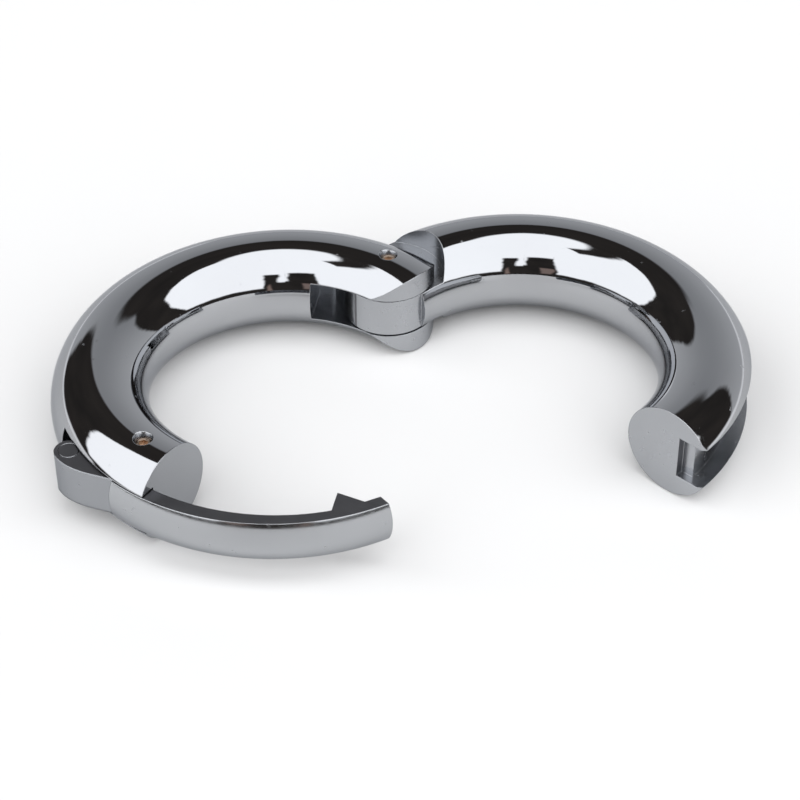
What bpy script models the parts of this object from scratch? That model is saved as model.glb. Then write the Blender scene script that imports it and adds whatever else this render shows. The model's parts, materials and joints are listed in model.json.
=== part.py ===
"""Hinged ring handcuff: two chromed half rings on a hinge pin, closed by a sprung latch lever.

Run with: blender --background --python part.py

The cuff lies flat on z = 0, open as it is stored. Each half ring is an arc of round bar. A place on a half
is given by its distance from the half's centre and its arc angle in degrees: 0 at the hinge, 180 at the
half's free end. The left half turns anticlockwise from the hinge, the right half clockwise.
"""

import math

import bmesh
import bpy
from mathutils import Matrix, Vector

MM = 0.001

# Driving dimensions, in millimetres and degrees.
BAR_RADIUS = 10.0
RING_RADIUS = 37.7
HINGE_OFFSET = 0.8
HINGE_X = -2.76
HINGE_Y = 28.85
LEFT_BEARING = -123.4
OPENING = 80.2
GAP = 0.3
MID_Z = BAR_RADIUS
TOP_Z = 2 * BAR_RADIUS
HINGE_RADIUS = RING_RADIUS + HINGE_OFFSET
OUTSIDE = RING_RADIUS + 2 * BAR_RADIUS
PAST_END_ARC = 184.0
OVERCUT = 1.0

# Hinge: a round tongue on the right half turns between the two round-ended ears of the left half.
TONGUE_HALF = 4.4
TONGUE_RADIUS = 9.6
SLOT_HALF = TONGUE_HALF + GAP
EAR_RADIUS = 9.8
EAR_FIRST_ARC = -17.0
EAR_CUT_ARC = -40.0
RIGHT_CUT_RADIUS = 12.0
LEFT_CLEARANCE_RADIUS = RIGHT_CUT_RADIUS + GAP
RECESS_ARC = 24.3
RECESS_FLOOR = RING_RADIUS

# Pivot pins, their holes and the hex sockets in their heads.
PIN_RADIUS = 1.4
HOLE_RADIUS = PIN_RADIUS + 0.1
COUNTERSINK_RADIUS = 2.0
COUNTERSINK_DEPTH = 1.0
COUNTERSINK_FLARE = 0.2
PIN_BELOW_TOP = 1.3
PIN_FOOT_Z = 2.4
SOCKET_ACROSS = 1.7
SOCKET_DEPTH = 1.0

# Latch lever, at its places in the left half's polar frame. Its tip lies past the half's end, at arc 180.
LEVER_HALF = 4.6
LEVER_SLOT_HALF = LEVER_HALF + GAP
LEVER_TRAVEL = 18.0
LEVER_PIN_ARC = 169.6
LUG_RADIUS = 4.2
ARM_FLOOR = 43.3
ARM_FIRST_ARC = 169.6
ARM_MARGIN_ARC = 2.0
ARM_LAST_ARC = 245.0
ARM_DROOP = 1.8
LUG_FIRST_LEAN = 60.0
VALLEY = (43.0, 236.6)
HOOK_PEAK = (38.8, 230.9)
HOOK_ROOT = (ARM_FLOOR, 227.6)
TIP_ARC = 241.0
TIP_SLANT = 1.6
THUMB = (48.1, 154.4)
THUMB_RADIUS = 2.95
THUMB_LAST_LEAN = -10.0
HEEL_SHOULDER = (51.0, 159.5)
HEEL_FOOT = (46.0, 169.4)
HEEL_TOE = (44.8, 174.0)

# Slots for the lever: SLOT_LIP is the floor of the left half's slot where it runs out at the end face.
SLOT_LIP = ARM_FLOOR - GAP
SLOT_LIP_ARC = 176.5
SLOT_BACK_ARC = 165.0
SLOT_BACK_LEANS = (76.0, 110.0)
SLOT_SWING = 18.9
SLOT_MARGIN = 1.5
GROOVE_MARGIN = 0.5
BEVEL_START = 45.3
BEVEL_ARC = 2.2
BEVEL_LAST_ARC = 186.0

# Return spring, from a pocket in the left half to the lever's heel.
SPRING_ARM = 10.5
SPRING_LEAN = -150.0
SPRING_LENGTH = 7.4
SPRING_RADIUS = 1.1
SPRING_WIRE = 0.25
SPRING_TURNS = 5
SPRING_CLEAR = GAP + 0.1
SPRING_POCKET_RADIUS = 1.8

# Facet counts.
ARC_STEP = 5.0
BAR_SIDES = 32
ROUND_SIDES = 32
POCKET_SIDES = 24
WIRE_SIDES = 8
PLAN_STEPS = 12
COARSE_ARC_STEP = 20.0
SPRING_STEPS = 12


def clear_scene():
    for obj in list(bpy.data.objects):
        bpy.data.objects.remove(obj, do_unlink=True)


def new_collection(name):
    collection = bpy.data.collections.new(name)
    bpy.context.scene.collection.children.link(collection)
    return collection


def material(name, colour, roughness, metallic=1.0):
    made = bpy.data.materials.new(name)
    made.use_nodes = True
    shader = made.node_tree.nodes["Principled BSDF"]
    shader.inputs["Base Color"].default_value = (*colour, 1.0)
    shader.inputs["Roughness"].default_value = roughness
    shader.inputs["Metallic"].default_value = metallic
    made.diffuse_color = (*colour, 1.0)
    return made


class Half:
    """One half ring's polar frame, in world millimetres."""

    def __init__(self, bearing, turn):
        reach = math.radians(bearing)
        self.hinge = Vector((HINGE_X, HINGE_Y))
        self.centre = self.hinge + HINGE_RADIUS * Vector((math.cos(reach), math.sin(reach)))
        self.start = bearing + 180.0
        self.turn = turn

    def point(self, rho, arc):
        angle = math.radians(self.start + self.turn * arc)
        return self.centre + rho * Vector((math.cos(angle), math.sin(angle)))


LEFT = Half(LEFT_BEARING, 1)
RIGHT = Half(LEFT_BEARING + OPENING, -1)
HINGE_AT = LEFT.hinge
LEVER_PIN_AT = LEFT.point(RING_RADIUS, LEVER_PIN_ARC)
FREE_END_ARC = 180.0 - math.degrees(GAP / 2 / RING_RADIUS)


def object_from_bmesh(name, shape, collection):
    mesh = bpy.data.meshes.new(name)
    bmesh.ops.recalc_face_normals(shape, faces=shape.faces)
    shape.to_mesh(mesh)
    shape.free()
    obj = bpy.data.objects.new(name, mesh)
    collection.objects.link(obj)
    return obj


def curve_to_mesh(name, curve, collection):
    """Turns curve data into a closed mesh object, with its loose caps welded on."""
    holder = bpy.data.objects.new(name + "_curve", curve)
    collection.objects.link(holder)
    bpy.context.view_layer.update()
    graph = bpy.context.evaluated_depsgraph_get()
    mesh = bpy.data.meshes.new_from_object(holder.evaluated_get(graph))
    bpy.data.objects.remove(holder, do_unlink=True)
    bpy.data.curves.remove(curve)
    shape = bmesh.new()
    shape.from_mesh(mesh)
    bpy.data.meshes.remove(mesh)
    bmesh.ops.remove_doubles(shape, verts=shape.verts, dist=0.00001)
    return object_from_bmesh(name, shape, collection)


def bar(name, points, radius, sides, collection):
    """A round bar through the points, with flat ends."""
    curve = bpy.data.curves.new(name, "CURVE")
    curve.dimensions = "3D"
    curve.bevel_depth = radius * MM
    curve.bevel_resolution = sides // 2 - 2
    curve.use_fill_caps = True
    spline = curve.splines.new("POLY")
    spline.points.add(len(points) - 1)
    for knot, place in zip(spline.points, points):
        knot.co = (place[0] * MM, place[1] * MM, place[2] * MM, 1.0)
    return curve_to_mesh(name, curve, collection)


def plate(name, outline, low, high, collection):
    """A flat outline extruded between two heights."""
    curve = bpy.data.curves.new(name, "CURVE")
    curve.dimensions = "2D"
    curve.fill_mode = "BOTH"
    curve.extrude = (high - low) / 2 * MM
    spline = curve.splines.new("POLY")
    spline.use_cyclic_u = True
    spline.points.add(len(outline) - 1)
    for knot, place in zip(spline.points, outline):
        knot.co = (place[0] * MM, place[1] * MM, 0.0, 1.0)
    obj = curve_to_mesh(name, curve, collection)
    obj.data.transform(Matrix.Translation((0, 0, (low + high) / 2 * MM)))
    return obj


def drum(name, at, radius, low, high, collection, top_radius=None, sides=ROUND_SIDES):
    """An upright cylinder, or a cone frustum when top_radius is given."""
    shape = bmesh.new()
    bmesh.ops.create_cone(
        shape,
        cap_ends=True,
        segments=sides,
        radius1=radius * MM,
        radius2=(radius if top_radius is None else top_radius) * MM,
        depth=(high - low) * MM,
    )
    middle = Vector((at[0], at[1], (low + high) / 2)) * MM
    bmesh.ops.translate(shape, vec=middle, verts=shape.verts)
    return object_from_bmesh(name, shape, collection)


def combine(target, operation, *others):
    """Applies one Boolean after another to the target and drops the meshes it used up."""
    for other in others:
        modifier = target.modifiers.new(operation.title(), "BOOLEAN")
        modifier.operation = operation
        modifier.object = other
        modifier.solver = "EXACT"
        bpy.context.view_layer.update()
        graph = bpy.context.evaluated_depsgraph_get()
        result = bpy.data.meshes.new_from_object(target.evaluated_get(graph))
        target.modifiers.clear()
        spent = target.data
        target.data = result
        bpy.data.meshes.remove(spent)
        if operation != "DIFFERENCE":
            bpy.data.objects.remove(other, do_unlink=True)


def finish_part(obj, name, skin, origin):
    """Names the part, gives it its material, and moves its origin onto its own axis."""
    place = Vector((origin[0], origin[1], MID_Z)) * MM
    obj.data.transform(Matrix.Translation(-place))
    obj.location = place
    obj.name = name
    obj.data.name = name
    obj.data.materials.clear()
    obj.data.materials.append(skin)
    obj.data.shade_smooth()
    obj.data.set_sharp_from_angle(angle=math.radians(35))


def arcs(first, last, step=ARC_STEP):
    count = max(1, round(abs(last - first) / step))
    return [first + (last - first) * i / count for i in range(count + 1)]


def circle_points(at, radius, first, last, count):
    """Points on an upright circle's plan, between two bearings in degrees."""
    made = []
    for i in range(count + 1):
        angle = math.radians(first + (last - first) * i / count)
        made.append(Vector(at) + radius * Vector((math.cos(angle), math.sin(angle))))
    return made


def half_bar(name, half, first, last, collection):
    """An arc of the round bar, whose flat ends lie on radial planes."""
    shape = bmesh.new()
    bmesh.ops.create_circle(shape, cap_ends=False, segments=BAR_SIDES, radius=BAR_RADIUS * MM)
    centre = Matrix.Translation((half.centre.x * MM, half.centre.y * MM, MID_Z * MM))
    heading = Matrix.Rotation(math.radians(half.start + half.turn * first), 4, "Z")
    upright = Matrix.Rotation(math.radians(90), 4, "X")
    section = centre @ heading @ Matrix.Translation((RING_RADIUS * MM, 0, 0)) @ upright
    bmesh.ops.transform(shape, matrix=section, verts=shape.verts)
    bmesh.ops.spin(
        shape,
        geom=shape.verts[:] + shape.edges[:],
        cent=centre.translation,
        axis=(0, 0, 1),
        angle=math.radians(half.turn * (last - first)),
        steps=round((last - first) / ARC_STEP),
    )
    bmesh.ops.holes_fill(shape, edges=[edge for edge in shape.edges if edge.is_boundary])
    return object_from_bmesh(name, shape, collection)


def pivot_hole_cutters(prefix, at, cutters):
    """The blind hole for a pivot pin and the countersink round its mouth."""
    hole = drum(prefix + "_hole", at, HOLE_RADIUS, PIN_FOOT_Z - GAP, TOP_Z + OVERCUT, cutters)
    mouth = drum(
        prefix + "_countersink",
        at,
        HOLE_RADIUS,
        TOP_Z - COUNTERSINK_DEPTH,
        TOP_Z + COUNTERSINK_FLARE,
        cutters,
        top_radius=COUNTERSINK_RADIUS + COUNTERSINK_FLARE,
    )
    return hole, mouth


def pivot_pin(name, at, skin, parts, cutters):
    """A round pin with a hex socket in its upper end."""
    head_z = TOP_Z - PIN_BELOW_TOP
    pin = drum(name, at, PIN_RADIUS, PIN_FOOT_Z, head_z, parts)
    socket = drum(
        name + "_socket",
        at,
        SOCKET_ACROSS / math.sqrt(3),
        head_z - SOCKET_DEPTH,
        head_z + OVERCUT,
        cutters,
        sides=6,
    )
    combine(pin, "DIFFERENCE", socket)
    finish_part(pin, name, skin, at)


def hinge_distance(rho, arc):
    """How far a place on a half is from the hinge."""
    across = 2 * HINGE_RADIUS * rho * math.cos(math.radians(arc))
    return math.sqrt(HINGE_RADIUS**2 + rho**2 - across)


def rho_at_hinge_distance(distance, arc):
    """Where the circle round the hinge crosses the radial line at an arc angle past 90."""
    angle = math.radians(arc)
    rise = HINGE_RADIUS * math.sin(angle)
    return HINGE_RADIUS * math.cos(angle) + math.sqrt(distance**2 - rise**2)


def about_lever_pin(radius, lean):
    """A point round the lever pin. Lean 0 points away from the ring's centre, 90 towards the end face."""
    angle = math.radians(LEFT.start + LEVER_PIN_ARC + lean)
    return LEVER_PIN_AT + radius * Vector((math.cos(angle), math.sin(angle)))


def lever_pin_arc(radius, first, last, count=PLAN_STEPS):
    leans = [first + (last - first) * i / count for i in range(count + 1)]
    return [about_lever_pin(radius, lean) for lean in leans]


def thumb_from_lever_pin():
    """The thumb pad's centre seen from the lever pin, as a distance and a lean."""
    step = LEFT.point(*THUMB) - LEVER_PIN_AT
    outward = LEVER_PIN_AT - LEFT.centre
    return step.length, -math.degrees(outward.angle_signed(step))


def heel_tangent_lean():
    """The lean at which one line touches both the lever's lug and its thumb pad."""
    distance, lean = thumb_from_lever_pin()
    return lean - math.degrees(math.acos((LUG_RADIUS - THUMB_RADIUS) / distance))


def left_half(skin, parts, cutters):
    body = half_bar("left_ring_half", LEFT, EAR_FIRST_ARC, FREE_END_ARC, parts)
    low = MID_Z - SLOT_HALF
    high = MID_Z + SLOT_HALF
    hinge_slot = drum("hinge_slot", HINGE_AT, LEFT_CLEARANCE_RADIUS, low, high, cutters)
    outline = [LEFT.point(RECESS_FLOOR, arc) for arc in arcs(0, RECESS_ARC)]
    outline += [LEFT.point(RING_RADIUS - 1.5 * BAR_RADIUS, arc) for arc in arcs(RECESS_ARC, 0)]
    recess = plate("tongue_recess", outline, low, high, cutters)
    lever_slot = lever_slot_cutter(cutters)
    holes = pivot_hole_cutters("hinge_pin", HINGE_AT, cutters)
    holes += pivot_hole_cutters("lever_pin", LEVER_PIN_AT, cutters)
    pocket = spring_pocket_cutter(cutters)
    combine(body, "DIFFERENCE", ear_end_cutter(cutters), hinge_slot, recess, lever_slot, *holes, pocket)
    finish_part(body, "left_ring_half", skin, LEFT.centre)


def ear_end_cutter(cutters):
    """Everything beyond the hinge that is further from its axis than the ears' round ends."""
    outline = circle_points(HINGE_AT, EAR_RADIUS, LEFT.start, LEFT.start - 180.0, 2 * PLAN_STEPS)
    inside = HINGE_RADIUS - 2 * BAR_RADIUS
    outline += [LEFT.point(inside, arc) for arc in (0.0, EAR_CUT_ARC)]
    outline += [LEFT.point(OUTSIDE, arc) for arc in (EAR_CUT_ARC, 0.0)]
    return plate("ear_end", outline, -OVERCUT, TOP_Z + OVERCUT, cutters)


def lever_slot_cutter(cutters):
    """The slot that the lever's heel sinks into. Its far wall is an arc about the lever pin."""
    outline = [LEFT.point(OUTSIDE, PAST_END_ARC)]
    outline += [LEFT.point(SLOT_LIP, arc) for arc in (PAST_END_ARC, 180.0, SLOT_LIP_ARC)]
    cavity = LUG_RADIUS + GAP
    pressed = heel_tangent_lean() - LEVER_TRAVEL - SLOT_MARGIN
    outline += lever_pin_arc(cavity, LUG_FIRST_LEAN, 360.0 + pressed)
    back = [pressed + lean for lean in SLOT_BACK_LEANS]
    outline += lever_pin_arc(SLOT_SWING, back[0], back[1])
    outline.append(LEFT.point(OUTSIDE, SLOT_BACK_ARC))
    return plate("lever_slot", outline, MID_Z - LEVER_SLOT_HALF, MID_Z + LEVER_SLOT_HALF, cutters)


def spring_seat():
    """The end of the spring at the heel, and the direction from there into its pocket."""
    distance, lean = thumb_from_lever_pin()
    along = about_lever_pin(1.0, lean) - LEVER_PIN_AT
    into = about_lever_pin(1.0, heel_tangent_lean()) - LEVER_PIN_AT
    share = SPRING_ARM / distance
    heel_edge = LUG_RADIUS + (THUMB_RADIUS - LUG_RADIUS) * share
    seat = LEVER_PIN_AT + along * SPRING_ARM + into * (heel_edge + SPRING_WIRE + SPRING_CLEAR)
    return seat, about_lever_pin(1.0, SPRING_LEAN) - LEVER_PIN_AT


def spring_pocket_cutter(cutters):
    seat, into = spring_seat()
    ends = [seat + into * OVERCUT, seat + into * (SPRING_LENGTH + SPRING_WIRE + GAP)]
    points = [(end.x, end.y, MID_Z) for end in ends]
    return bar("spring_pocket", points, SPRING_POCKET_RADIUS, POCKET_SIDES, cutters)


def right_half(skin, parts, cutters):
    body = half_bar("right_ring_half", RIGHT, 0.0, FREE_END_ARC, parts)
    low = MID_Z - TONGUE_HALF
    high = MID_Z + TONGUE_HALF
    over = drum("over_tongue", HINGE_AT, RIGHT_CUT_RADIUS, high, TOP_Z + OVERCUT, cutters)
    under = drum("under_tongue", HINGE_AT, RIGHT_CUT_RADIUS, -OVERCUT, low, cutters)
    knuckle = drum("knuckle", HINGE_AT, TONGUE_RADIUS, low, high, parts)
    bore = drum("hinge_bore", HINGE_AT, HOLE_RADIUS, low - OVERCUT, high + OVERCUT, cutters)
    combine(body, "DIFFERENCE", over, under)
    combine(body, "UNION", knuckle)
    combine(body, "DIFFERENCE", bore, groove_cutter(cutters), bevel_cutter(cutters))
    finish_part(body, "right_ring_half", skin, HINGE_AT)


def groove_cutter(cutters):
    """The groove that the lever lies in. Its floor is an arc about the hinge, so the closing lever clears it."""
    deepest = min(hinge_distance(*HOOK_PEAK), hinge_distance(ARM_FLOOR, TIP_ARC))
    floor = deepest - GROOVE_MARGIN
    wall = 360.0 - TIP_ARC - TIP_SLANT - GROOVE_MARGIN
    outline = [RIGHT.point(rho_at_hinge_distance(floor, arc), arc) for arc in arcs(wall, PAST_END_ARC)]
    outline += [RIGHT.point(OUTSIDE, arc) for arc in arcs(PAST_END_ARC, wall, COARSE_ARC_STEP)]
    return plate("lever_groove", outline, MID_Z - LEVER_SLOT_HALF, MID_Z + LEVER_SLOT_HALF, cutters)


def bevel_cutter(cutters):
    """The slanting cut across the outer side of the right half's end."""
    slope = BEVEL_ARC / (RING_RADIUS + BAR_RADIUS - BEVEL_START)
    outline = [RIGHT.point(BEVEL_START, 180.0)]
    outline.append(RIGHT.point(BEVEL_START - OVERCUT, 180.0 + slope * OVERCUT))
    outline.append(RIGHT.point(OUTSIDE, BEVEL_LAST_ARC))
    outline.append(RIGHT.point(OUTSIDE, 180.0 - slope * (OUTSIDE - BEVEL_START)))
    return plate("end_bevel", outline, -OVERCUT, TOP_Z + OVERCUT, cutters)


def latch_lever(skin, parts, cutters):
    low = MID_Z - LEVER_HALF
    high = MID_Z + LEVER_HALF
    arm = half_bar("latch_lever", LEFT, ARM_FIRST_ARC, ARM_LAST_ARC, parts)
    droop = Matrix.Rotation(math.radians(ARM_DROOP), 4, "Z")
    pivot = Matrix.Translation(LEVER_PIN_AT.to_3d() * MM)
    arm.data.transform(pivot @ droop @ pivot.inverted())
    first = ARM_FIRST_ARC - ARM_MARGIN_ARC
    outline = [LEFT.point(ARM_FLOOR, arc) for arc in arcs(first, HOOK_ROOT[1])]
    outline += [LEFT.point(*HOOK_PEAK), LEFT.point(*VALLEY), LEFT.point(VALLEY[0], TIP_ARC)]
    tip = TIP_ARC + 2 * TIP_SLANT
    outline += [LEFT.point(OUTSIDE, arc) for arc in arcs(tip, first, COARSE_ARC_STEP)]
    keep = plate("arm_outline", outline, low, high, cutters)
    combine(arm, "INTERSECT", keep)
    tangent = heel_tangent_lean()
    outline = lever_pin_arc(LUG_RADIUS, LUG_FIRST_LEAN, 360.0 + tangent)
    thumb = LEFT.point(*THUMB)
    swing = LEFT.start + LEVER_PIN_ARC
    outline += circle_points(thumb, THUMB_RADIUS, swing + tangent, swing + THUMB_LAST_LEAN, PLAN_STEPS)
    outline += [LEFT.point(*HEEL_SHOULDER), LEFT.point(*HEEL_FOOT), LEFT.point(*HEEL_TOE)]
    heel = plate("heel", outline, low, high, parts)
    bore = drum("lever_bore", LEVER_PIN_AT, HOLE_RADIUS, low - OVERCUT, high + OVERCUT, cutters)
    combine(arm, "UNION", heel)
    combine(arm, "DIFFERENCE", bore)
    finish_part(arm, "latch_lever", skin, LEVER_PIN_AT)


def lever_spring(skin, parts):
    """A small compression coil whose axis lies level, between the pocket and the heel."""
    seat, into = spring_seat()
    side = Vector((-into.y, into.x))
    points = []
    count = SPRING_TURNS * SPRING_STEPS
    for i in range(count + 1):
        turn = 2 * math.pi * SPRING_TURNS * i / count
        flat = seat + into * (SPRING_LENGTH * i / count) + side * SPRING_RADIUS * math.cos(turn)
        points.append((flat.x, flat.y, MID_Z + SPRING_RADIUS * math.sin(turn)))
    coil = bar("lever_spring", points, SPRING_WIRE, WIRE_SIDES, parts)
    finish_part(coil, "lever_spring", skin, seat)


def main():
    clear_scene()
    parts = new_collection("handcuff")
    cutters = new_collection("cutters")
    chrome = material("chrome_plate", (0.62, 0.63, 0.65), 0.08)
    lever_chrome = material("lever_chrome_plate", (0.52, 0.53, 0.55), 0.22)
    brass = material("pin_brass", (0.62, 0.46, 0.30), 0.35)
    steel = material("spring_steel", (0.42, 0.43, 0.45), 0.30)
    left_half(chrome, parts, cutters)
    right_half(chrome, parts, cutters)
    latch_lever(lever_chrome, parts, cutters)
    lever_spring(steel, parts)
    pivot_pin("hinge_pin", HINGE_AT, brass, parts, cutters)
    pivot_pin("lever_pin", LEVER_PIN_AT, brass, parts, cutters)
    for cutter in cutters.objects:
        cutter.hide_render = True
        cutter.display_type = "WIRE"
    cutters.hide_render = True


main()
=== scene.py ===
"""Looks for the hinged ring handcuff: plated half rings, latch lever, pins and spring on a pale studio floor.

The two half rings and the lever are made again here as fine meshes with true surface normals, because
mirror plating shows every facet. A place on a half is a distance from its centre and an arc angle in degrees:
0 at the hinge, 180 at its free end. Lengths are millimetres and angles are degrees unless they say otherwise.
"""

import json
import math

import bmesh
import bpy
import numpy as np
from mathutils import Matrix, Vector


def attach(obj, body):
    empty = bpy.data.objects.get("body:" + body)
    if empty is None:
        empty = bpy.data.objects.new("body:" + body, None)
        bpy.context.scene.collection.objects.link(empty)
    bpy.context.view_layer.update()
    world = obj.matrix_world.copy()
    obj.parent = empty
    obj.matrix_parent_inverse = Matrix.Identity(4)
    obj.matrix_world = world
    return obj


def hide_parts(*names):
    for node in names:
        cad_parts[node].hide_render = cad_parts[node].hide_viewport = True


MM = 0.001
MICRON = 0.000001

# Shape of the cuff. The right half's groove and notch are shallower than the CAD part's.
BAR_RADIUS = 10.0
RING_RADIUS = 37.7
HINGE_RADIUS = 38.5
LEFT_BEARING = -123.4
OPENING = 80.2
GAP = 0.3
MID_Z = BAR_RADIUS
TOP_Z = 2 * BAR_RADIUS
FREE_END_ARC = 180.0 - math.degrees(GAP / 2 / RING_RADIUS)

# Where cutters reach past what they cut.
OUTSIDE = RING_RADIUS + 2 * BAR_RADIUS
OVERCUT = 1.0
PAST_END_ARC = 184.0

TONGUE_HALF = 4.4
TONGUE_RADIUS = 9.6
SLOT_HALF = TONGUE_HALF + GAP
EAR_RADIUS = 9.8
EAR_FIRST_ARC = -17.5
EAR_CUT_ARC = -40.0
RIGHT_CUT_RADIUS = 12.0
LEFT_CLEARANCE_RADIUS = RIGHT_CUT_RADIUS + GAP
RECESS_ARC = 24.3

HOLE_RADIUS = 1.5
COUNTERSINK_RADIUS = 2.0
COUNTERSINK_DEPTH = 1.0
COUNTERSINK_FLARE = 0.2
HOLE_FOOT_Z = 2.1

LEVER_HALF = 4.6
LEVER_SLOT_HALF = LEVER_HALF + GAP
LEVER_TRAVEL = 18.0
LEVER_PIN_ARC = 169.6
LUG_RADIUS = 4.2
LUG_FIRST_LEAN = 60.0
ARM_FLOOR = 43.3
ARM_FIRST_ARC = 169.6
ARM_MARGIN_ARC = 2.0
ARM_DROOP = 1.8
VALLEY = (43.0, 236.6)
HOOK_PEAK = (38.8, 230.9)
HOOK_ROOT = (ARM_FLOOR, 227.6)
TIP_ARC = 241.0
TIP_SLANT = 1.6
THUMB = (48.1, 154.4)
THUMB_RADIUS = 2.95
THUMB_LAST_LEAN = -10.0
HEEL_SHOULDER = (51.0, 159.5)
HEEL_FOOT = (46.0, 169.4)
HEEL_TOE = (ARM_FLOOR + 1.5, 174.0)
SHOULDER_SPAN = (0.15, 0.6)
FOOT_FROM = 0.7
MARK_RADIUS = 2.2
MARK_WIDTH = 0.22
MARK_DEPTH = 0.12

SLOT_LIP_ARCS = (PAST_END_ARC, 180.0, 178.2, 176.5)
SLOT_SWING = 18.9
SLOT_MARGIN = 1.5
SLOT_BACK_ARC = 165.0
SLOT_BACK_LEANS = (76.0, 80.0, 110.0)

# The groove's room round the hook: at its root, on both sides of its peak, and at its valley.
GROOVE_CLEAR = 0.4
HOOK_ROOM_ARCS = (0.8, 0.9, 1.0, 1.0)
GROOVE_MARGIN = 0.5
NOTCH_FLOOR = 40.2
NOTCH_ARC = 177.2
# Faces this near the notch floor get the dark skin as painted shade.
ON_NOTCH_FLOOR = 0.1
BEVEL_START = 45.3
BEVEL_ARC = 2.2
BEVEL_REACH = RING_RADIUS + BAR_RADIUS + 3.0
BEVEL_LAST_ARC = 186.0

# Fineness of the visible meshes.
BAR_SIDES = 144
ARC_STEP = 1.25
COARSE_ARC_STEP = 20.0
ROUND_SIDES = 96
EAR_STEPS = 64
THUMB_STEPS = 32
LUG_STEPS = 24
SLOT_BACK_STEPS = 12
CORNER_STEPS = 14
SHARP_ANGLE = 35.0

# How near a point is to the round bar to count as on it, and how alike two directions are to count as one.
ON_BAR = 0.03
SAME_WAY = 0.9

# The photograph's view.
CAMERA_AT = (-0.30, -369.6, 317.5)
CAMERA_AIM = (-0.30, 4.37, 0.0)
LENS = 104.9
SENSOR = 36.0
CLIP_START = 10.0

FLOOR_SIZE = 8000.0
FLOOR_DROP = 0.2

# Room light. A card has its first and last bearings at the horizon, its lowest and highest elevations, how
# far its two sides slant in bearing per degree of height, and its light. Bearing 0 is +Y and 90 is +X.
WHITE_CARD = (2.1, 2.12, 2.16)
STRIP_CARD = (1.35, 1.35, 1.37)
ZENITH = 95.0
CARDS = [
    ((109.0, 164.0), (9.0, ZENITH), (-0.78, 0.0), WHITE_CARD),
    ((150.0, 181.0), (42.0, ZENITH), (0.0, 0.0), WHITE_CARD),
    ((175.0, 181.0), (22.0, ZENITH), (0.0, 0.0), WHITE_CARD),
    ((-155.0, -88.0), (7.0, 64.0), (0.0, 0.62), WHITE_CARD),
    ((-181.0, -120.0), (56.0, 80.0), (0.0, 0.0), WHITE_CARD),
    ((-181.0, -150.0), (44.0, 64.0), (0.0, 0.0), WHITE_CARD),
    ((-181.0, -178.0), (24.0, 64.0), (0.0, 0.0), WHITE_CARD),
    ((-181.0, 181.0), (73.0, ZENITH), (0.0, 0.0), WHITE_CARD),
    ((-88.0, -10.0), (-20.0, 3.5), (0.0, 0.0), STRIP_CARD),
    ((26.0, 92.0), (-20.0, 3.5), (0.0, 0.0), STRIP_CARD),
    ((165.0, 171.0), (2.0, 20.0), (0.2, -0.1), (0.40, 0.29, 0.25)),
    ((-166.0, -160.0), (4.0, 18.0), (-0.1, 0.2), (0.36, 0.27, 0.24)),
]
CARD_BLUR = 3.0
BACKDROP = ((-44.0, 76.0), (-20.0, 44.0), (0.72, -0.82))
BACKDROP_BLUR = 4.0
BACKDROP_FOOT = (0.78, 0.79, 0.81)
BACKDROP_HEAD = (0.40, 0.41, 0.43)
BACKDROP_SHADE = (-5.0, 44.0)
GLOOM = ((0.018, 0.0175, 0.018), (0.060, 0.052, 0.047))

# How far the cards' edges wander, so that they don't look ruled.
BEARING_WANDER = 9.0
HEIGHT_WANDER = 7.0

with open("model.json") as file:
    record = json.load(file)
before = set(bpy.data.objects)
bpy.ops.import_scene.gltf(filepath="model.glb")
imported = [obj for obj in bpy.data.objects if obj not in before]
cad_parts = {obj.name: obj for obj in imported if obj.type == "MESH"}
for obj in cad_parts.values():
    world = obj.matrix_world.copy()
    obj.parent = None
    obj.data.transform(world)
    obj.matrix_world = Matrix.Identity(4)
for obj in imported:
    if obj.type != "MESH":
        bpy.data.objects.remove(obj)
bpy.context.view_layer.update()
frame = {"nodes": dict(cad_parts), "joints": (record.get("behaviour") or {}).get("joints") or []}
joint_at = {joint["name"]: Vector(joint["pos_m"]) / MM for joint in frame["joints"]}
HINGE_AT = joint_at["cuff_hinge"].to_2d()


class Half:
    """One half ring's polar frame, in world millimetres."""

    def __init__(self, bearing, turn):
        reach = math.radians(bearing)
        self.centre = HINGE_AT + HINGE_RADIUS * Vector((math.cos(reach), math.sin(reach)))
        self.start = bearing + 180.0
        self.turn = turn

    def point(self, rho, arc):
        angle = math.radians(self.start + self.turn * arc)
        return self.centre + rho * Vector((math.cos(angle), math.sin(angle)))


LEFT = Half(LEFT_BEARING, 1)
RIGHT = Half(LEFT_BEARING + OPENING, -1)
LEVER_PIN_AT = joint_at["latch_pivot"].to_2d()


def object_from_bmesh(name, shape):
    mesh = bpy.data.meshes.new(name)
    bmesh.ops.recalc_face_normals(shape, faces=shape.faces)
    shape.to_mesh(mesh)
    shape.free()
    obj = bpy.data.objects.new(name, mesh)
    bpy.context.scene.collection.objects.link(obj)
    return obj


def arcs(first, last, step=ARC_STEP):
    """Even arc angles from the first to the last, about one step apart."""
    count = max(1, round(abs(last - first) / step))
    return [first + (last - first) * i / count for i in range(count + 1)]


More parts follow.
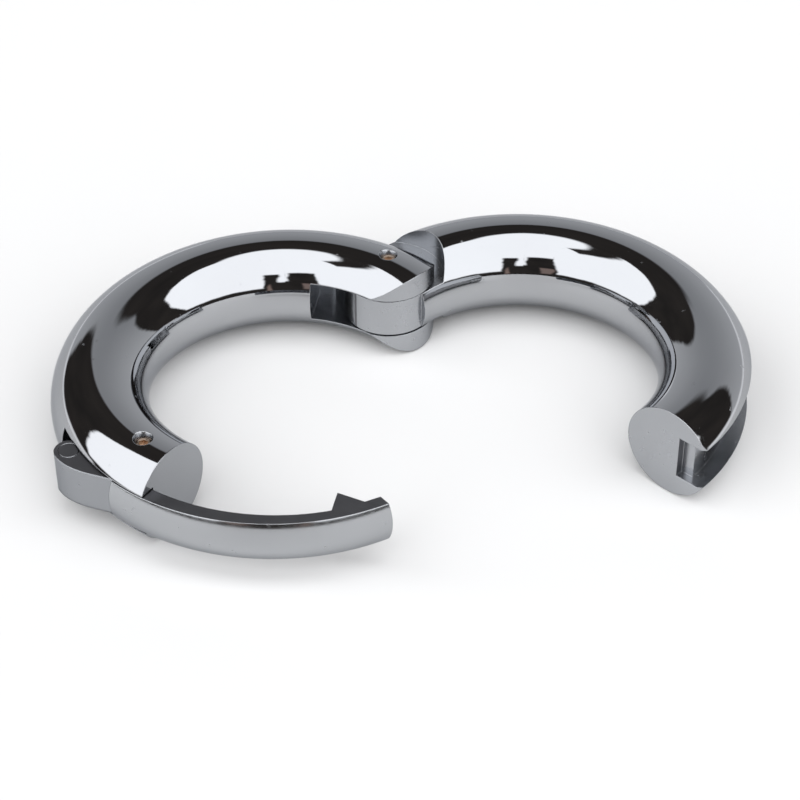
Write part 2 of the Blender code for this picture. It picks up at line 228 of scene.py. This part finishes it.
def bar_arc(name, half, first, last):
    """An arc of the round bar, whose flat ends lie on radial planes."""
    shape = bmesh.new()
    bmesh.ops.create_circle(shape, cap_ends=False, segments=BAR_SIDES, radius=BAR_RADIUS * MM)
    centre = Matrix.Translation((half.centre.x * MM, half.centre.y * MM, MID_Z * MM))
    heading = Matrix.Rotation(math.radians(half.start + half.turn * first), 4, "Z")
    upright = Matrix.Rotation(math.radians(90), 4, "X")
    section = centre @ heading @ Matrix.Translation((RING_RADIUS * MM, 0, 0)) @ upright
    bmesh.ops.transform(shape, matrix=section, verts=shape.verts)
    bmesh.ops.spin(
        shape,
        geom=shape.verts[:] + shape.edges[:],
        cent=centre.translation,
        axis=(0, 0, 1),
        angle=math.radians(half.turn * (last - first)),
        steps=round((last - first) / ARC_STEP),
    )
    bmesh.ops.holes_fill(shape, edges=[edge for edge in shape.edges if edge.is_boundary])
    return object_from_bmesh(name, shape)


def prism(name, outline, low, high):
    """A flat outline raised between two heights."""
    shape = bmesh.new()
    base = [shape.verts.new((place[0] * MM, place[1] * MM, low * MM)) for place in outline]
    face = shape.faces.new(base)
    raised = bmesh.ops.extrude_face_region(shape, geom=[face])
    tops = [item for item in raised["geom"] if isinstance(item, bmesh.types.BMVert)]
    bmesh.ops.translate(shape, vec=(0, 0, (high - low) * MM), verts=tops)
    return object_from_bmesh(name, shape)


def drum(name, at, radius, low, high, top_radius=None):
    """An upright cylinder, or a cone where a top radius is given."""
    shape = bmesh.new()
    bmesh.ops.create_cone(
        shape,
        cap_ends=True,
        segments=ROUND_SIDES,
        radius1=radius * MM,
        radius2=(radius if top_radius is None else top_radius) * MM,
        depth=(high - low) * MM,
    )
    middle = Vector((at[0], at[1], (low + high) / 2)) * MM
    bmesh.ops.translate(shape, vec=middle, verts=shape.verts)
    return object_from_bmesh(name, shape)


def combine(target, operation, *others):
    """Applies one Boolean after another to the target and removes the objects it used."""
    for other in others:
        modifier = target.modifiers.new(operation.title(), "BOOLEAN")
        modifier.operation = operation
        modifier.object = other
        modifier.solver = "EXACT"
        bpy.context.view_layer.update()
        graph = bpy.context.evaluated_depsgraph_get()
        result = bpy.data.meshes.new_from_object(target.evaluated_get(graph))
        target.modifiers.clear()
        target.data = result
        bpy.data.objects.remove(other, do_unlink=True)


def about_lever_pin(radius, lean):
    """A point round the lever pin. Lean 0 points away from the ring's centre, 90 towards the end face."""
    angle = math.radians(LEFT.start + LEVER_PIN_ARC + lean)
    return LEVER_PIN_AT + radius * Vector((math.cos(angle), math.sin(angle)))


def lever_pin_arc(radius, first, last, count=LUG_STEPS):
    leans = [first + (last - first) * i / count for i in range(count + 1)]
    return [about_lever_pin(radius, lean) for lean in leans]


def circle_points(at, radius, first, last, count):
    made = []
    for i in range(count + 1):
        angle = math.radians(first + (last - first) * i / count)
        made.append(Vector(at) + radius * Vector((math.cos(angle), math.sin(angle))))
    return made


def heel_tangent_lean():
    """The lean at which one line touches both the lever's lug and its thumb pad."""
    step = LEFT.point(*THUMB) - LEVER_PIN_AT
    outward = LEVER_PIN_AT - LEFT.centre
    lean = -math.degrees(outward.angle_signed(step))
    return lean - math.degrees(math.acos((LUG_RADIUS - THUMB_RADIUS) / step.length))


def rounded_corner(begin, corner, end):
    """Points along a smooth curve that leaves begin towards the corner and arrives at end from it."""
    steps = [step / CORNER_STEPS for step in range(CORNER_STEPS + 1)]
    return [begin.lerp(corner, step).lerp(corner.lerp(end, step), step) for step in steps]


def pivot_hole(at):
    """Cutters for a pin's hole and its countersunk mouth."""
    hole = drum("hole", at, HOLE_RADIUS, HOLE_FOOT_Z, TOP_Z + OVERCUT)
    flare = COUNTERSINK_RADIUS + COUNTERSINK_FLARE
    foot = TOP_Z - COUNTERSINK_DEPTH
    mouth = drum("countersink", at, HOLE_RADIUS, foot, TOP_Z + COUNTERSINK_FLARE, top_radius=flare)
    return hole, mouth


def finish_skin(obj, half, skins, turned=0.0):
    """Gives each face its skin, and the faces on the round bar their true torus normals.

    The skins are for the bar, for upright cuts and for level cuts.
    """
    mesh = obj.data
    mesh.materials.clear()
    for skin in skins:
        mesh.materials.append(skin)
    mesh.shade_smooth()
    mesh.set_sharp_from_angle(angle=math.radians(SHARP_ANGLE))
    centre = half.centre.to_3d()
    if turned:
        offset = Matrix.Rotation(math.radians(turned), 3, "Z") @ (centre - LEVER_PIN_AT.to_3d())
        centre = LEVER_PIN_AT.to_3d() + offset
    centre.z = MID_Z
    points = np.empty(len(mesh.vertices) * 3)
    mesh.vertices.foreach_get("co", points)
    flat = points.reshape(-1, 3) / MM - np.array(centre)
    plan = np.hypot(flat[:, 0], flat[:, 1])
    inner = flat * np.array([1, 1, 0]) * (RING_RADIUS / plan)[:, None]
    normals = flat - inner
    away = np.linalg.norm(normals, axis=1)
    normals /= np.maximum(away, 1e-9)[:, None]
    on_bar = np.abs(away - BAR_RADIUS) < ON_BAR
    corners = [corner.vector.copy() for corner in mesh.corner_normals]
    for face in mesh.polygons:
        members = list(face.vertices)
        facing = np.array(face.normal)
        round_face = all(on_bar[members]) and all(normals[members] @ facing > SAME_WAY)
        level = 2 if abs(facing[2]) > SAME_WAY else 1
        face.material_index = 0 if round_face else level
        if round_face:
            for corner, vertex in zip(face.loop_indices, members):
                corners[corner] = Vector(normals[vertex])
    mesh.normals_split_custom_set(corners)


def left_half_piece(skins):
    body = bar_arc("left_half_skin", LEFT, EAR_FIRST_ARC, FREE_END_ARC)
    low = MID_Z - SLOT_HALF
    high = MID_Z + SLOT_HALF
    hinge_slot = drum("hinge_slot", HINGE_AT, LEFT_CLEARANCE_RADIUS, low, high)
    outline = [LEFT.point(RING_RADIUS, arc) for arc in arcs(0, RECESS_ARC)]
    outline += [LEFT.point(RING_RADIUS - 1.5 * BAR_RADIUS, arc) for arc in arcs(RECESS_ARC, 0)]
    recess = prism("recess", outline, low, high)
    outline = [LEFT.point(OUTSIDE, PAST_END_ARC)]
    outline += [LEFT.point(ARM_FLOOR - GAP, arc) for arc in SLOT_LIP_ARCS]
    pressed = heel_tangent_lean() - LEVER_TRAVEL - SLOT_MARGIN
    outline += lever_pin_arc(LUG_RADIUS + GAP, LUG_FIRST_LEAN, 360.0 + pressed)
    corner, back_first, back_last = (pressed + lean for lean in SLOT_BACK_LEANS)
    outline.append(about_lever_pin(SLOT_SWING, corner))
    outline += lever_pin_arc(SLOT_SWING, back_first, back_last, SLOT_BACK_STEPS)
    outline.append(LEFT.point(OUTSIDE, SLOT_BACK_ARC))
    slot = prism("slot", outline, MID_Z - LEVER_SLOT_HALF, MID_Z + LEVER_SLOT_HALF)
    combine(body, "DIFFERENCE", ear_end_cutter(), hinge_slot, recess, slot)
    combine(body, "DIFFERENCE", *pivot_hole(HINGE_AT), *pivot_hole(LEVER_PIN_AT))
    finish_skin(body, LEFT, skins)
    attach(body, "left_half")
    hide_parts("left_ring_half")


def ear_end_cutter():
    """Everything beyond the hinge that is further from its axis than the ears' round ends."""
    outline = circle_points(HINGE_AT, EAR_RADIUS, LEFT.start, LEFT.start - 180.0, EAR_STEPS)
    inside = HINGE_RADIUS - 2 * BAR_RADIUS
    outline += [LEFT.point(inside, arc) for arc in (0.0, EAR_CUT_ARC)]
    outline += [LEFT.point(OUTSIDE, arc) for arc in (EAR_CUT_ARC, 0.0)]
    return prism("ear_end", outline, -OVERCUT, TOP_Z + OVERCUT)


def right_half_piece(skins):
    body = bar_arc("right_half_skin", RIGHT, 0.0, FREE_END_ARC)
    low = MID_Z - TONGUE_HALF
    high = MID_Z + TONGUE_HALF
    over = drum("over_tongue", HINGE_AT, RIGHT_CUT_RADIUS, high, TOP_Z + OVERCUT)
    under = drum("under_tongue", HINGE_AT, RIGHT_CUT_RADIUS, -OVERCUT, low)
    knuckle = drum("knuckle", HINGE_AT, TONGUE_RADIUS, low, high)
    bore = drum("bore", HINGE_AT, HOLE_RADIUS, low - OVERCUT, high + OVERCUT)
    combine(body, "DIFFERENCE", over, under)
    combine(body, "UNION", knuckle)
    combine(body, "DIFFERENCE", bore, groove_cutter(), notch_cutter(), bevel_cutter())
    finish_skin(body, RIGHT, skins)
    # The notch floor takes the fourth skin, the dark cast chrome, as painted shade in the notch under the
    # lever's arm.
    for face in body.data.polygons:
        from_centre = (face.center / MM - RIGHT.centre.to_3d()).to_2d().length
        if face.material_index == 1 and abs(from_centre - NOTCH_FLOOR) < ON_NOTCH_FLOOR:
            face.material_index = 3
    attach(body, "right_half")
    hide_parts("right_ring_half")


def groove_cutter():
    """The groove for the lever's arm, one lever's depth into the bar, with a pocket for its hook."""
    floor = ARM_FLOOR - GROOVE_CLEAR
    wall = 360.0 - TIP_ARC - TIP_SLANT - GROOVE_MARGIN
    at_root, before_peak, after_peak, at_valley = HOOK_ROOM_ARCS
    peak = 360.0 - HOOK_PEAK[1]
    outline = [RIGHT.point(floor, arc) for arc in arcs(PAST_END_ARC, 360.0 - HOOK_ROOT[1] + at_root)]
    outline.append(RIGHT.point(HOOK_PEAK[0] - GROOVE_CLEAR, peak + before_peak))
    outline.append(RIGHT.point(HOOK_PEAK[0] - GROOVE_CLEAR, peak - after_peak))
    outline.append(RIGHT.point(floor - GROOVE_CLEAR, 360.0 - VALLEY[1] - at_valley))
    outline.append(RIGHT.point(floor - GROOVE_CLEAR, wall))
    outline += [RIGHT.point(OUTSIDE, arc) for arc in arcs(wall, PAST_END_ARC, COARSE_ARC_STEP)]
    return prism("groove", outline, MID_Z - LEVER_SLOT_HALF, MID_Z + LEVER_SLOT_HALF)


def notch_cutter():
    """The deeper notch where the groove runs out at the end face."""
    outline = [RIGHT.point(NOTCH_FLOOR, arc) for arc in arcs(PAST_END_ARC, NOTCH_ARC)]
    outline += [RIGHT.point(ARM_FLOOR, arc) for arc in arcs(NOTCH_ARC, PAST_END_ARC)]
    return prism("end_notch", outline, MID_Z - LEVER_SLOT_HALF, MID_Z + LEVER_SLOT_HALF)


def bevel_cutter():
    """The slanting cut across the outer side of the right half's end."""
    slope = BEVEL_ARC / (RING_RADIUS + BAR_RADIUS - BEVEL_START)
    outline = [RIGHT.point(BEVEL_START, 180.0)]
    outline.append(RIGHT.point(BEVEL_START - OVERCUT, 180.0 + slope * OVERCUT))
    outline.append(RIGHT.point(BEVEL_REACH, BEVEL_LAST_ARC))
    outline.append(RIGHT.point(BEVEL_REACH, 180.0 - slope * (BEVEL_REACH - BEVEL_START)))
    return prism("end_bevel", outline, -OVERCUT, TOP_Z + OVERCUT)


def heel_outline():
    """The lever behind its pin: the round lug, the round thumb pad and the line that leads on to the arm."""
    tangent = heel_tangent_lean()
    swing = LEFT.start + LEVER_PIN_ARC
    shoulder = LEFT.point(*HEEL_SHOULDER)
    foot = LEFT.point(*HEEL_FOOT)
    lug = lever_pin_arc(LUG_RADIUS, LUG_FIRST_LEAN, 360.0 + tangent)
    thumb = LEFT.point(*THUMB)
    pad = circle_points(thumb, THUMB_RADIUS, swing + tangent, swing + THUMB_LAST_LEAN, THUMB_STEPS)
    before, after = SHOULDER_SPAN
    upper = rounded_corner(pad[-1].lerp(shoulder, before), shoulder, shoulder.lerp(foot, after))
    lower = rounded_corner(shoulder.lerp(foot, FOOT_FROM), foot, LEFT.point(*HEEL_TOE))
    return lug + pad + upper + lower


def lever_piece(skins):
    low = MID_Z - LEVER_HALF
    high = MID_Z + LEVER_HALF
    arm = bar_arc("lever_skin", LEFT, ARM_FIRST_ARC, TIP_ARC + 2 * ARM_MARGIN_ARC)
    droop = Matrix.Rotation(math.radians(ARM_DROOP), 4, "Z")
    pivot = Matrix.Translation(LEVER_PIN_AT.to_3d() * MM)
    arm.data.transform(pivot @ droop @ pivot.inverted())
    first = ARM_FIRST_ARC - ARM_MARGIN_ARC
    outline = [LEFT.point(ARM_FLOOR, arc) for arc in arcs(first, HOOK_ROOT[1])]
    outline += [LEFT.point(*HOOK_PEAK), LEFT.point(*VALLEY), LEFT.point(VALLEY[0], TIP_ARC)]
    outline += [LEFT.point(OUTSIDE, arc) for arc in arcs(TIP_ARC + 2 * TIP_SLANT, first, COARSE_ARC_STEP)]
    combine(arm, "INTERSECT", prism("arm_outline", outline, low, high))
    combine(arm, "UNION", prism("heel", heel_outline(), low, high))
    thumb = LEFT.point(*THUMB)
    mark = drum("mark", thumb, MARK_RADIUS, high - MARK_DEPTH, high + OVERCUT)
    core = drum("mark_core", thumb, MARK_RADIUS - MARK_WIDTH, high - OVERCUT, high + 2 * OVERCUT)
    combine(mark, "DIFFERENCE", core)
    bore = drum("bore", LEVER_PIN_AT, HOLE_RADIUS, low - OVERCUT, high + OVERCUT)
    combine(arm, "DIFFERENCE", bore, mark)
    finish_skin(arm, LEFT, skins, turned=ARM_DROOP)
    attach(arm, "latch")
    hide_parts("latch_lever")


def new_material(name):
    made = bpy.data.materials.new(name)
    made.use_nodes = True
    return made, made.node_tree.nodes, made.node_tree.links


def noise(nodes, links, where, scale, detail=4.0, roughness=0.5):
    made = nodes.new("ShaderNodeTexNoise")
    made.inputs["Scale"].default_value = scale
    made.inputs["Detail"].default_value = detail
    made.inputs["Roughness"].default_value = roughness
    links.new(where, made.inputs["Vector"])
    return made.outputs["Fac"]


def spread(nodes, links, value, low, high, floor, ceiling):
    """Maps a 0 to 1 value between two places onto a new range."""
    made = nodes.new("ShaderNodeMapRange")
    made.inputs["From Min"].default_value = low
    made.inputs["From Max"].default_value = high
    made.inputs["To Min"].default_value = floor
    made.inputs["To Max"].default_value = ceiling
    links.new(value, made.inputs["Value"])
    return made.outputs["Result"]


def tint(nodes, links, value, dark, light):
    made = nodes.new("ShaderNodeMix")
    made.data_type = "RGBA"
    made.inputs["A"].default_value = (*dark, 1.0)
    made.inputs["B"].default_value = (*light, 1.0)
    links.new(value, made.inputs["Factor"])
    return made.outputs["Result"]


def number(nodes, links, operation, *values):
    """A maths node whose inputs are links or plain numbers."""
    made = nodes.new("ShaderNodeMath")
    made.operation = operation
    for socket, value in zip(made.inputs, values):
        if isinstance(value, (int, float)):
            socket.default_value = value
        else:
            links.new(value, socket)
    return made.outputs[0]


def plated_metal(name, dark, light, rough, grain, edge=0.25):
    """Plating with uneven polish, faint waviness, dull specks, rounded edges, and fine grain.

    The grain is a noise scale and a depth in microns, and the edge is the radius that edges seem to have.
    """
    made, nodes, links = new_material(name)
    shader = nodes["Principled BSDF"]
    shader.inputs["Metallic"].default_value = 1.0
    shader.inputs["Specular Tint"].default_value = (0.62, 0.63, 0.65, 1.0)
    place = nodes.new("ShaderNodeTexCoord").outputs["Object"]
    cloud = noise(nodes, links, place, 55.0, 3.0)
    fine = noise(nodes, links, place, 700.0, 4.0)
    links.new(tint(nodes, links, cloud, dark, light), shader.inputs["Base Color"])
    polish = number(nodes, links, "ADD", cloud, fine)
    specks = spread(nodes, links, noise(nodes, links, place, 420.0, 2.0), 0.70, 0.76, 0.0, 0.25)
    worn = spread(nodes, links, polish, 0.7, 1.3, *rough)
    links.new(number(nodes, links, "ADD", worn, specks), shader.inputs["Roughness"])
    rounded = nodes.new("ShaderNodeBevel")
    rounded.samples = 6
    rounded.inputs["Radius"].default_value = edge * MM
    wave = nodes.new("ShaderNodeBump")
    wave.inputs["Strength"].default_value = 0.25
    wave.inputs["Distance"].default_value = 40 * MICRON
    links.new(cloud, wave.inputs["Height"])
    links.new(rounded.outputs["Normal"], wave.inputs["Normal"])
    speckle = nodes.new("ShaderNodeBump")
    speckle.inputs["Distance"].default_value = grain[1] * MICRON
    links.new(noise(nodes, links, place, grain[0], 3.0), speckle.inputs["Height"])
    links.new(wave.outputs["Normal"], speckle.inputs["Normal"])
    links.new(speckle.outputs["Normal"], shader.inputs["Normal"])
    return made


def floor_piece():
    bpy.ops.mesh.primitive_plane_add(size=FLOOR_SIZE * MM, location=(0, 0, -FLOOR_DROP * MM))
    floor = bpy.context.object
    floor.name = "studio_floor"
    made = new_material("pale_floor")[0]
    shader = made.node_tree.nodes["Principled BSDF"]
    shader.inputs["Base Color"].default_value = (0.81, 0.805, 0.797, 1.0)
    shader.inputs["Roughness"].default_value = 0.55
    floor.data.materials.append(made)


def soft_step(nodes, links, value, edge, blur):
    """0 below the edge and 1 above it, blended over the blur."""
    made = nodes.new("ShaderNodeMapRange")
    made.interpolation_type = "SMOOTHSTEP"
    made.inputs["From Min"].default_value = edge - blur / 2
    made.inputs["From Max"].default_value = edge + blur / 2
    links.new(value, made.inputs["Value"])
    return made.outputs["Result"]


def card(nodes, links, bearing, height, sides, heights, slants, blur=CARD_BLUR):
    """1 where a card stands in the room and 0 elsewhere."""
    left = number(nodes, links, "MULTIPLY_ADD", height, -slants[0], bearing)
    right = number(nodes, links, "MULTIPLY_ADD", height, -slants[1], bearing)
    inside = number(
        nodes,
        links,
        "SUBTRACT",
        soft_step(nodes, links, left, sides[0], blur),
        soft_step(nodes, links, right, sides[1], blur),
    )
    tall = number(
        nodes,
        links,
        "SUBTRACT",
        soft_step(nodes, links, height, heights[0], blur),
        soft_step(nodes, links, height, heights[1], blur),
    )
    product = number(nodes, links, "MULTIPLY", inside, tall)
    return number(nodes, links, "MAXIMUM", product, 0.0)


def studio_light():
    """A dark room with the cards around it and overhead, and a grey backdrop behind."""
    world = bpy.data.worlds.new("studio")
    bpy.context.scene.world = world
    world.use_nodes = True
    nodes = world.node_tree.nodes
    links = world.node_tree.links
    split = nodes.new("ShaderNodeSeparateXYZ")
    direction = nodes.new("ShaderNodeTexCoord").outputs["Generated"]
    links.new(direction, split.inputs["Vector"])
    around = number(nodes, links, "ARCTAN2", split.outputs["X"], split.outputs["Y"])
    wander = noise(nodes, links, direction, 3.5, 3.0)
    degrees = number(nodes, links, "DEGREES", around)
    bearing = number(nodes, links, "MULTIPLY_ADD", wander, BEARING_WANDER, degrees)
    bearing = number(nodes, links, "SUBTRACT", bearing, BEARING_WANDER / 2)
    rise = number(nodes, links, "DEGREES", number(nodes, links, "ARCSINE", split.outputs["Z"]))
    sway = noise(nodes, links, direction, 2.5, 3.0)
    height = number(nodes, links, "MULTIPLY_ADD", sway, HEIGHT_WANDER, rise)
    height = number(nodes, links, "SUBTRACT", height, HEIGHT_WANDER / 2)
    shade = spread(nodes, links, height, *BACKDROP_SHADE, 0.0, 1.0)
    backdrop = nodes.new("ShaderNodeMix")
    backdrop.data_type = "RGBA"
    links.new(tint(nodes, links, wander, *GLOOM), backdrop.inputs["A"])
    links.new(tint(nodes, links, shade, BACKDROP_FOOT, BACKDROP_HEAD), backdrop.inputs["B"])
    behind = card(nodes, links, bearing, height, *BACKDROP, BACKDROP_BLUR)
    links.new(behind, backdrop.inputs["Factor"])
    colour = backdrop.outputs["Result"]
    for sides, heights, slants, light in CARDS:
        mix = nodes.new("ShaderNodeMix")
        mix.data_type = "RGBA"
        links.new(colour, mix.inputs["A"])
        mix.inputs["B"].default_value = (*light, 1.0)
        links.new(card(nodes, links, bearing, height, sides, heights, slants), mix.inputs["Factor"])
        colour = mix.outputs["Result"]
    links.new(colour, nodes["Background"].inputs["Color"])


def place_camera():
    data = bpy.data.cameras.new("camera")
    data.lens = LENS
    data.sensor_width = SENSOR
    data.clip_start = CLIP_START * MM
    camera = bpy.data.objects.new("camera", data)
    camera.location = Vector(CAMERA_AT) * MM
    aim = Vector(CAMERA_AIM) * MM - camera.location
    camera.rotation_euler = aim.to_track_quat("-Z", "Y").to_euler()
    bpy.context.scene.collection.objects.link(camera)
    bpy.context.scene.camera = camera


def main():
    polished = plated_metal(
        "polished_chrome", (0.395, 0.40, 0.415), (0.43, 0.44, 0.455), (0.02, 0.05), (2500.0, 0.8)
    )
    satin = plated_metal(
        "satin_chrome", (0.36, 0.37, 0.385), (0.41, 0.42, 0.44), (0.20, 0.28), (1800.0, 1.6)
    )
    # Dark, grainy cast chrome for the lever's top and bottom faces; on the right half's notch floor the same
    # dark skin is painted shade.
    cast_grain_and_notch_shade = plated_metal(
        "cast_lever_chrome_and_notch_shade", (0.15, 0.15, 0.158), (0.21, 0.21, 0.22), (0.30, 0.42), (2200.0, 7.0)
    )
    lever_bright = plated_metal(
        "lever_bright_chrome", (0.38, 0.39, 0.405), (0.42, 0.43, 0.445), (0.12, 0.19), (1800.0, 0.8)
    )
    # The lever's upright faces: chrome a little rougher than its round face, with a darker base colour that
    # is painted shade.
    lever_side_with_painted_shade = plated_metal(
        "lever_side_chrome_with_painted_shade", (0.29, 0.30, 0.315), (0.34, 0.35, 0.37), (0.16, 0.24), (1800.0, 1.4), 0.9
    )
    brass = plated_metal(
        "pin_brass", (0.40, 0.28, 0.20), (0.62, 0.50, 0.40), (0.22, 0.40), (2600.0, 6.0), 0.1
    )
    wire = plated_metal(
        "spring_wire", (0.30, 0.31, 0.33), (0.50, 0.51, 0.53), (0.20, 0.34), (3000.0, 2.0), 0.05
    )
    left_half_piece((polished, satin, satin))
    right_half_piece((polished, satin, satin, cast_grain_and_notch_shade))
    lever_piece((lever_bright, lever_side_with_painted_shade, cast_grain_and_notch_shade))
    for node, skin in (("hinge_pin", brass), ("lever_pin", brass), ("lever_spring", wire)):
        mesh = frame["nodes"][node].data
        mesh.materials.clear()
        mesh.materials.append(skin)
    floor_piece()
    studio_light()
    place_camera()
    bpy.context.scene.view_settings.view_transform = "Standard"


main()
